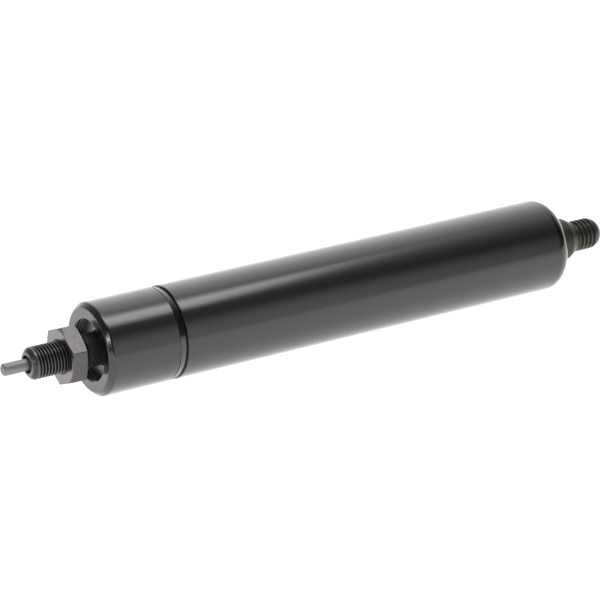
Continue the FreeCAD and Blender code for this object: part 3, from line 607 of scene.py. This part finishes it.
class STRUT_OT_sleeve(bpy.types.Operator):
    """Make the end sleeve with the thread in its mouth"""

    bl_idname = "strut.sleeve"
    bl_label = "End sleeve"

    def execute(self, context):
        size = millimetres(context.scene.strut_sizes)
        soft, mouth = size.soft_edge, size.mouth_radius
        package, spigot = GUIDE_R + FIT, PLUG_R
        lead, mouth_edge, floor_edge, face_edge = 0.35, 0.1, 0.08, 0.45
        joint, land, land_edge = TUBE_START - size.joint_chamfer, 0.02, 0.005
        line_half, line_depth, line_edge = 0.13, 0.2, 0.01
        ring = groove(SLEEVE_RING, SEAL_HALF, spigot, spigot - SEAL_DEPTH, soft)
        snap = groove(SNAP_RING, WIRE_HALF, package, package + SNAP_DEPTH, soft)
        outline = rounded([
            (SLEEVE_START, mouth + lead, mouth_edge, 4),
            (SLEEVE_START, TUBE_R - size.face_chamfer, face_edge, 7),
            (SLEEVE_START + size.face_chamfer, TUBE_R, face_edge, 7),
            *groove(joint - land - line_half, line_half, TUBE_R, TUBE_R - line_depth, line_edge),
            (joint, TUBE_R, land_edge, 3),
            (TUBE_START, TUBE_R - size.joint_depth, soft, 4),
            (TUBE_START, spigot, soft, 3),
            *ring,
            (SLEEVE_STOP, spigot, soft, 4),
            (SLEEVE_STOP, package, soft, 4),
            *reversed(snap),
            (GUIDE_START, package, soft, 3),
            (GUIDE_START, mouth, floor_edge, 3),
            (SLEEVE_START + lead, mouth, mouth_edge, 4),
        ])
        outline = divided(outline, step=0.05, low=SLEEVE_START, high=GUIDE_START)
        start, stop, run_out = SLEEVE_START + 0.25, GUIDE_START - 0.1, 0.3

        def relief(x, angle, radius):
            """Radius of the mouth, opened by the thread. The outside stays as it is."""
            cut = thread_cut(x, angle, start, stop, size.mouth_pitch, size.mouth_thread, run_out)
            in_mouth = (x > start) & (x < stop) & (radius < mouth + size.mouth_thread)
            return np.where(in_mouth, np.maximum(radius, mouth + cut), radius)

        piece = turned("sleeve", outline, around(columns=224), relief=relief)
        dress(piece, stoved_enamel, "end_sleeve", "cylinder")
        return {"FINISHED"}


class STRUT_OT_guide(bpy.types.Operator):
    """Make the rod guide, whose face is the floor of the mouth"""

    bl_idname = "strut.guide"
    bl_label = "Rod guide"

    def execute(self, context):
        size = millimetres(context.scene.strut_sizes)
        soft, hole_edge = size.soft_edge, 0.25
        hole, liner = ROD_R + 0.15, LINER_R + FIT
        web = LINER_START - SEAT
        outline = rounded([
            (GUIDE_START, hole, hole_edge, 5),
            (GUIDE_START, GUIDE_R, soft, 4),
            *groove(GUIDE_RING, SEAL_HALF, GUIDE_R, GUIDE_R - SEAL_DEPTH, soft),
            (GUIDE_STOP, GUIDE_R, soft, 4),
            (GUIDE_STOP, liner, soft, 4),
            (web, liner, soft, 3),
            (web, hole, soft, 3),
        ])
        piece = turned("guide", outline, around(columns=160))
        dress(piece, faced_alloy, "rod_guide", "cylinder")
        return {"FINISHED"}


class STRUT_OT_rod(bpy.types.Operator):
    """Make the hollow rod with its fine thread"""

    bl_idname = "strut.rod"
    bl_label = "Piston rod"

    def execute(self, context):
        size = millimetres(context.scene.strut_sizes)
        soft, fine, mouth_edge = size.soft_edge, 0.05, 0.1
        face_edge, tip_edge = 0.35, 0.5
        crest, under_nut = size.crest_radius, size.nut_bore - FIT
        bore, mouth, neck = PIN_R + 0.1, size.valve_radius, size.neck_radius
        mouth_stop, bore_start = ROD_START + 1.15, ROD_START + 1.6
        thread_start, thread_stop, run_out = ROD_START + 1.8, NUT_STOP - NUT_SINK, 0.9
        valve = PISTON_START - size.valve_depth
        outline = rounded([
            (ROD_START, mouth, mouth_edge, 4),
            (ROD_START, crest - size.rod_tip, face_edge, 7),
            (ROD_START + size.rod_tip, crest, tip_edge, 7),
            (NUT_START + NUT_SINK - STEP_RUN, crest),
            (NUT_START + NUT_SINK, under_nut),
            (thread_stop, under_nut),
            (thread_stop + STEP_RUN, ROD_R),
            (PISTON_START, ROD_R, soft, 4),
            (PISTON_START, neck, soft, 3),
            (ROD_STOP, neck, soft, 4),
            (ROD_STOP, mouth, soft, 3),
            (valve, mouth, soft, 3),
            (valve, bore, soft, 3),
            (bore_start, bore, fine, 3),
            (mouth_stop, mouth, fine, 3),
        ])
        outline = divided(outline, step=0.04, low=ROD_START, high=thread_stop)

        def relief(x, angle, radius):
            """Radius of the rod, cut by the thread. The bore stays as it is."""
            cut = thread_cut(x, angle, thread_start, thread_stop, size.rod_pitch,
                             size.rod_thread, run_out)
            outside = (x > thread_start) & (x < thread_stop) & (radius > mouth + soft)
            return np.where(outside, np.minimum(radius, crest - cut), radius)

        piece = turned("rod", outline, around(columns=128), relief=relief)
        dress(piece, nitrided_steel, "piston_rod", "rod")
        return {"FINISHED"}


class STRUT_OT_nut(bpy.types.Operator):
    """Make the lock nut"""

    bl_idname = "strut.nut"
    bl_label = "Lock nut"

    def execute(self, context):
        """A hexagon gives the angle and the reach of each column. The chamfer cuts the corners
        by the tangent of 15 degrees times their reach past the rim."""
        size = millimetres(context.scene.strut_sizes)
        corner_edge, column_step = 0.18, 0.8
        hexagon = rounded([(NUT_CORNER_R * math.cos(turn), NUT_CORNER_R * math.sin(turn),
                            corner_edge, 5) for turn in NUT_TURN + np.radians(60) * np.arange(6)])
        hexagon = divided(hexagon, column_step)[:, 0]
        angles = np.arctan2(hexagon[:, 1], hexagon[:, 0])
        order = np.argsort(angles)
        angles, reach = angles[order], np.hypot(*hexagon[order].T)
        flat = NUT_CORNER_R * math.cos(math.radians(30))
        rim, mouth, throat, bore = flat - 0.2, 5.3, 5.0, size.nut_bore
        mouth_edge, rim_edge, corner_round, thread_edge = 0.05, 0.06, 0.02, 0.03
        least_rise = 0.02
        rise = np.maximum((reach - rim) * math.tan(math.radians(15)), least_rise)
        outline = rounded([
            (NUT_START, mouth, mouth_edge, 3),
            (NUT_START, rim, rim_edge, 4),
            (NUT_START + rise, reach, corner_round, 3),
            (NUT_STOP - rise, reach, corner_round, 3),
            (NUT_STOP, rim, rim_edge, 4),
            (NUT_STOP, mouth, mouth_edge, 3),
            (NUT_STOP - NUT_SINK, throat, thread_edge, 3),
            (NUT_STOP - NUT_SINK - STEP_RUN, bore, thread_edge, 3),
            (NUT_START + NUT_SINK + STEP_RUN, bore, thread_edge, 3),
            (NUT_START + NUT_SINK, throat, thread_edge, 3),
        ])
        piece = turned("nut", outline, angles)
        dress(piece, turned_nut_steel, "lock_nut", "nut")
        return {"FINISHED"}


class STRUT_OT_pin(bpy.types.Operator):
    """Make the release pin"""

    bl_idname = "strut.pin"
    bl_label = "Release pin"

    def execute(self, context):
        chamfer, tip_edge, foot_edge = 0.4, 0.15, 0.05
        outline = rounded([
            (PIN_START, 0.0),
            (PIN_START, PIN_R - chamfer, tip_edge, 4),
            (PIN_START + chamfer, PIN_R, tip_edge, 5),
            (PIN_STOP, PIN_R, foot_edge, 3),
            (PIN_STOP, 0.0),
        ])
        piece = turned("pin", outline, around(columns=96), solid=True)
        dress(piece, ground_pin_steel, "release_pin", "release")
        return {"FINISHED"}


class STRUT_OT_plug(bpy.types.Operator):
    """Make the base plug, whose boss stands out of the rolled end"""

    bl_idname = "strut.plug"
    bl_label = "Base plug"

    def execute(self, context):
        size = millimetres(context.scene.strut_sizes)
        soft, fine, boss_edge, hole_edge = size.soft_edge, 0.05, 0.2, 0.1
        shoulder = TUBE_STOP - size.tube_wall
        hole, hole_floor = size.neck_radius + FIT, STUD_START - SEAT
        boss = TUBE_R - size.tube_end - size.lip_width - FIT
        outline = rounded([
            (PLUG_START, 0.0),
            (PLUG_START, PLUG_R, soft, 4),
            *groove(BASE_RING, SEAL_HALF, PLUG_R, PLUG_R - SEAL_DEPTH, soft),
            (shoulder, PLUG_R, size.tube_end - size.tube_wall, 10),
            (shoulder, boss, fine, 3),
            (PLUG_STOP, boss, boss_edge, 5),
            (PLUG_STOP, hole, hole_edge, 3),
            (hole_floor, hole, fine, 3),
            (hole_floor, 0.0),
        ])
        piece = turned("plug", outline, around(columns=160), solid=True)
        dress(piece, stoved_enamel, "base_plug", "cylinder")
        return {"FINISHED"}


class STRUT_OT_stud(bpy.types.Operator):
    """Make the stud with its flange, cone, coarse thread and round tip"""

    bl_idname = "strut.stud"
    bl_label = "Threaded stud"

    def execute(self, context):
        size = millimetres(context.scene.strut_sizes)
        crest, root, neck = size.crest_radius, size.stud_root, size.neck_radius
        cone, foot = PLUG_STOP + size.flange_length, root - crest
        thread_stop, run_out = STUD_STOP - size.stud_tip, 0.7
        spigot_edge, fine, flange_edge, cone_edge = 0.1, 0.05, 0.3, 0.25
        # The dome's arc stops a thousandth short of the point on the axis
        root_edge, crest_edge, dome = 0.2, 0.08, crest * 0.999
        outline = rounded([
            (STUD_START, 0.0),
            (STUD_START, neck, spigot_edge, 4),
            (PLUG_STOP, neck, fine, 3),
            (PLUG_STOP, FLANGE_R, flange_edge, 5),
            (cone, FLANGE_R, cone_edge, 5),
            (foot, root, root_edge, 5),
            (foot + crest - root, crest, crest_edge, 4),
            (STUD_STOP, crest, dome, 30),
            (STUD_STOP, 0.0),
        ])
        outline = divided(outline, step=0.06, low=foot, high=thread_stop)

        def relief(x, angle, radius):
            """Radius of the stud, cut by the thread between its cone and its tip."""
            cut = thread_cut(x, angle, foot, thread_stop, size.stud_pitch,
                             size.stud_thread, run_out)
            threaded = (x > foot) & (x < thread_stop)
            return np.where(threaded, np.minimum(radius, crest - cut), radius)

        piece = turned("stud", outline, around(columns=128), solid=True, relief=relief)
        dress(piece, phosphated_steel, "threaded_stud", "cylinder")
        return {"FINISHED"}


# Finish of the inner nodes: maker, name, sRGB colour, roughness and grain in millimetres
INNER_FINISHES = {
    ("guide_liner",): (turned_inner_metal, "bored_bronze", "#9c7b48", 0.28, 0.2),
    ("guide_snap_ring", "base_wire_ring"):
        (turned_inner_metal, "blued_spring_wire", "#2f3036", 0.3, 0.4),
    ("seal_support_washer", "stop_sleeve", "piston_nut", "valve_tappet"):
        (turned_inner_metal, "turned_free_cutting_steel", "#9a9a98", 0.26, 0.2),
    ("piston", "separator_piston"):
        (turned_inner_metal, "turned_light_alloy", "#b4b4b2", 0.3, 0.25),
    ("seal_back_ring", "piston_ring"):
        (moulded_inner_polymer, "machined_fluoropolymer", "#dcdad0", 0.5, 0.4),
    ("rod_seal", "guide_seal_ring", "sleeve_seal_ring", "base_seal_ring", "piston_ring_spring",
     "valve_seat_ring", "tappet_seal_ring", "separator_oil_ring", "separator_gas_ring"):
        (moulded_inner_polymer, "moulded_nitrile_rubber", "#161617", 0.55, 0.3),
}


class STRUT_OT_inner(bpy.types.Operator):
    """Give the pieces inside the strut their finishes"""

    bl_idname = "strut.inner"
    bl_label = "Inner pieces"

    def execute(self, context):
        for nodes, (maker, name, code, roughness, wave) in INNER_FINISHES.items():
            material = maker(name, code, roughness, wave)
            for node in nodes:
                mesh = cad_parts[node].data
                mesh.materials.clear()
                mesh.materials.append(material)
        return {"FINISHED"}


# Studio

# Light of the tent at angles about the strut's axis, in degrees up from the horizon on the
# camera's side. It is dark between the front card and the roof, and bright behind.
TENT = [(-180, 1.3), (-90, 1.2), (0, 0.88), (12, 0.85), (20, 0.78), (28, 0.6), (36, 0.36),
        (44, 0.19), (56, 0.18), (67, 0.26), (75, 0.36), (83, 0.48), (92, 0.72), (101, 0.8),
        (111, 1.02), (121, 1.19), (133, 1.28), (147, 1.4), (164, 1.2), (180, 1.3)]
TENT_TOP = max(light for degrees, light in TENT)

# Fades of the tent: the range of a direction's x or angle, and the share of light at each end
LEFT_FADE = (-0.45, 0.0, 0.15 * TENT_TOP, TENT_TOP)
RIGHT_FADE = (0.52, 0.8, 1.0)
BACK_FADE = (math.radians(90), math.radians(140), 0.12, 0.5)
CARD_FADE = (0.49, 0.54, 0.0, 0.48)
CARD_EDGE = (math.radians(40), math.radians(60), 1.0, 0.0)


def tent_light():
    """World light that depends on the angle about the X axis. It falls off towards -X and
    +X, less so at the back on the right, and the front card falls off earlier."""
    world = bpy.data.worlds.new("tent")
    world.use_nodes = True
    tree = world.node_tree
    tree.nodes.clear()
    way = add(tree, "TexCoord").outputs["Generated"]
    x, y, z = add(tree, "SeparateXYZ", (way,)).outputs
    front = add(tree, "Math", (y, -1.0), operation="MULTIPLY").outputs[0]
    angle = add(tree, "Math", (z, front), operation="ARCTAN2").outputs[0]
    share = add(tree, "MapRange", (angle, -math.pi, math.pi, 0.0, 1.0)).outputs[0]
    ramp = add(tree, "ValToRGB", (share,))
    stops = ramp.color_ramp.elements
    while len(stops) < len(TENT):
        stops.new(0.5)
    for stop, (degrees, light) in zip(stops, TENT):
        stop.position = (degrees + 180) / 360
        stop.color = (light / TENT_TOP, light / TENT_TOP, light / TENT_TOP, 1)
    left = add(tree, "MapRange", (x, *LEFT_FADE)).outputs[0]
    far_right = add(tree, "MapRange", (angle, *BACK_FADE)).outputs[0]
    right = add(tree, "MapRange", (x, *RIGHT_FADE, far_right)).outputs[0]
    past_card = add(tree, "MapRange", (x, *CARD_FADE)).outputs[0]
    on_card = add(tree, "MapRange", (angle, *CARD_EDGE)).outputs[0]
    loss = add(tree, "Math", (past_card, on_card), operation="MULTIPLY").outputs[0]
    kept = add(tree, "Math", (1.0, loss), operation="SUBTRACT").outputs[0]
    strength = add(tree, "Math", (left, right), operation="MULTIPLY").outputs[0]
    strength = add(tree, "Math", (strength, kept), operation="MULTIPLY").outputs[0]
    inputs = {"Color": ramp.outputs["Color"], "Strength": strength}
    glow = add(tree, "Background", inputs).outputs["Background"]
    add(tree, "OutputWorld", {"Surface": glow})
    bpy.context.scene.world = world


def glowing_table():
    """White table with a light of its own, so that no shadow shows. It glows less in front of
    the strut, so the strut's lower side mirrors a greyer floor there."""
    colours, stage = bpy.context.scene.strut_colours, bpy.context.scene.strut_stage
    material, tree, place = new_finish("white_table")
    across, front, back, front_share = (-0.6, 1, 0), -0.26, -0.05, 0.64
    depth = add(tree, "VectorMath", (place, across), operation="DOT_PRODUCT").outputs["Value"]
    glow = (depth, front, back, front_share * stage.table_light, stage.table_light)
    close_finish(tree, {
        "Base Color": (*colours.table, 1),
        "Roughness": 0.9,
        "Emission Color": (*colours.table_glow, 1),
        "Emission Strength": add(tree, "MapRange", glow).outputs[0],
    })
    return material


def lay_table(half):
    """Square table that the tube lies on, from -half to half in metres."""
    level = -TUBE_R * MM
    mesh = bpy.data.meshes.new("table")
    corners = [(-half, -half, level), (half, -half, level),
               (half, half, level), (-half, half, level)]
    mesh.from_pydata(corners, [], [(0, 1, 2, 3)])
    mesh.materials.append(glowing_table())
    table = bpy.data.objects.new("table", mesh)
    bpy.context.scene.collection.objects.link(table)


def soft_box(name, place, turn, width, depth, light):
    """Area light with a given light on its face, hidden from the camera. The power that gives
    it is four times the light times the area."""
    data = bpy.data.lights.new(name, "AREA")
    data.shape = "RECTANGLE"
    data.size, data.size_y = width, depth
    data.energy = 4 * light * width * depth
    lamp = bpy.data.objects.new(name, data)
    lamp.location = place
    lamp.rotation_euler = turn
    lamp.visible_camera = False
    bpy.context.scene.collection.objects.link(lamp)


def place_camera(stage):
    """Camera at its place, level and turned by its azimuth and elevation."""
    data = bpy.data.cameras.new("camera")
    data.lens = stage.lens
    data.sensor_width = 36.0
    data.clip_end = 50.0
    camera = bpy.data.objects.new("camera", data)
    camera.location = stage.camera_place
    camera.rotation_euler = (math.pi / 2 - stage.elevation, 0, stage.azimuth)
    bpy.context.scene.collection.objects.link(camera)
    bpy.context.scene.camera = camera


class STRUT_OT_stage(bpy.types.Operator):
    """Set up the table, the lights and the camera"""

    bl_idname = "strut.stage"
    bl_label = "Stage"

    def execute(self, context):
        stage = context.scene.strut_stage
        lay_table(half=4.0)
        tent_light()
        overhead = (0, 0, math.radians(-8))
        soft_box("roof_box", (-0.1, -0.085, 0.9), overhead, width=1.0, depth=0.52,
                 light=stage.roof_light)
        soft_box("roof_core", (-0.14, -0.075, 0.88), overhead, width=1.0, depth=0.3,
                 light=stage.core_light)
        leaning = (math.radians(70.7), 0, math.radians(-71.5))
        soft_box("end_strip", (-0.704, -0.19, 0.205), leaning, width=0.03, depth=0.26,
                 light=stage.strip_light)
        place_camera(stage)
        context.scene.view_settings.view_transform = "Standard"
        return {"FINISHED"}


MAKERS = (STRUT_OT_tube, STRUT_OT_sleeve, STRUT_OT_guide, STRUT_OT_rod, STRUT_OT_nut,
          STRUT_OT_pin, STRUT_OT_plug, STRUT_OT_stud, STRUT_OT_inner, STRUT_OT_stage)
SETTINGS = {"strut_sizes": StrutSizes, "strut_colours": StrutColours,
            "strut_stage": StageSettings}


class STRUT_PT_panel(bpy.types.Panel):
    """Buttons for the pieces and the stage"""

    bl_label = "Gas strut"
    bl_space_type = "VIEW_3D"
    bl_region_type = "UI"
    bl_category = "Gas strut"

    def draw(self, context):
        for maker in MAKERS:
            self.layout.operator(maker.bl_idname)


def register():
    """Register the settings, the operators and the panel."""
    for name, group in SETTINGS.items():
        bpy.utils.register_class(group)
        setattr(bpy.types.Scene, name, bpy.props.PointerProperty(type=group))
    for item in (*MAKERS, STRUT_PT_panel):
        bpy.utils.register_class(item)


def unregister():
    """Take back what register adds."""
    for item in (STRUT_PT_panel, *reversed(MAKERS)):
        bpy.utils.unregister_class(item)
    for name, group in SETTINGS.items():
        delattr(bpy.types.Scene, name)
        bpy.utils.unregister_class(group)


def main():
    """Make every piece and the stage."""
    register()
    for maker in MAKERS:
        getattr(bpy.ops.strut, maker.bl_idname.split(".")[1])()


if __name__ == "__main__":
    main()
